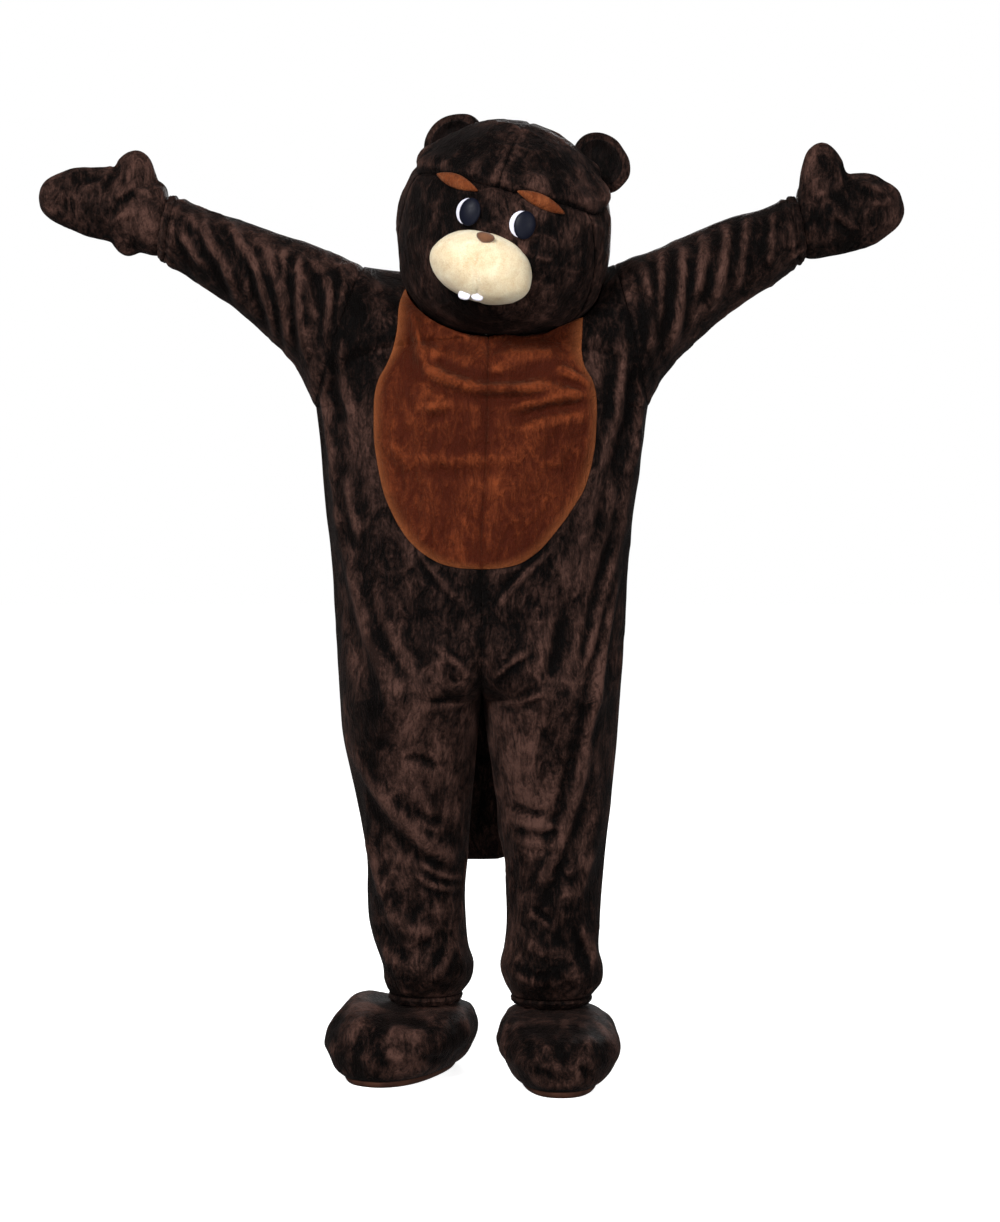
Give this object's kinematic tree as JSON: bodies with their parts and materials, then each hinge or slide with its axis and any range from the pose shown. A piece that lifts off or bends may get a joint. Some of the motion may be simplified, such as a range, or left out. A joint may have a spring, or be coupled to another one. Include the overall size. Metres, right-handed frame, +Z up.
{
  "type": "beaver mascot costume",
  "caption": "Hollow plush beaver mascot costume: suit with belly patch, mittens, padded feet, flat tail, foam head and a back zip with a hinged pull tab.",
  "frame": {"origin": "middle of the wearer's shoulders, 1.470 m above the soles, where the wearer carries the suit", "axes": "+Z up, from the soles to the head; -Y forward, the way the belly faces; +X to the viewer's right when the costume is seen from in front"},
  "size_m": [1.618, 0.5418, 1.7858],
  "materials": {
    "plush": "dark brown plush, napped",
    "patch": "rust brown plush, napped",
    "ear_lining": "very dark plush",
    "muzzle": "cream short-pile fleece over foam",
    "nose": "brown cloth over foam",
    "tooth": "white felt over foam",
    "eye_white": "moulded, satin",
    "eye_pupil": "domed, glossy",
    "brow": "rust orange plush",
    "sole": "brown foam rubber, matt",
    "zip_tape": "woven tape",
    "zip_metal": "dull antique plated"
  },
  "bodies": {
    "costume": {"body_front_left": "plush", "body_front_right": "plush", "body_back_left": "plush", "body_back_right": "plush", "belly_patch_left": "patch", "belly_patch_right": "patch", "sleeve_left": "plush", "sleeve_right": "plush", "wrist_hem_left": "plush", "wrist_hem_right": "plush", "ankle_hem_left": "plush", "ankle_hem_right": "plush", "mitten_palm_left": "plush", "mitten_palm_right": "plush", "mitten_back_left": "plush", "mitten_back_right": "plush", "foot_cover_left": "plush", "foot_cover_right": "plush", "foot_sole_left": "sole", "foot_sole_right": "sole", "tail": "plush", "zip_tape_left": "zip_tape", "zip_tape_right": "zip_tape", "zip_slider": "zip_metal", "head_face": "plush", "head_back": "plush", "head_crown_left": "plush", "head_crown_right": "plush", "muzzle": "muzzle", "nose": "nose", "tooth_left": "tooth", "tooth_right": "tooth", "eye_white_left": "eye_white", "eye_white_right": "eye_white", "eye_pupil_left": "eye_pupil", "eye_pupil_right": "eye_pupil", "brow_left": "brow", "brow_right": "brow", "ear_left": "plush", "ear_right": "plush", "ear_inner_left": "ear_lining", "ear_inner_right": "ear_lining"},
    "zip_pull": {"zip_pull_tab": "zip_metal"}
  },
  "joints": [
    {"name": "pull_tab_hinge", "type": "hinge", "parent": "costume", "child": "zip_pull", "pos_m": [0.00032, 0.12139, -0.01955], "axis": [1, 0, 0], "range_deg": [0, 150]}
  ]
}
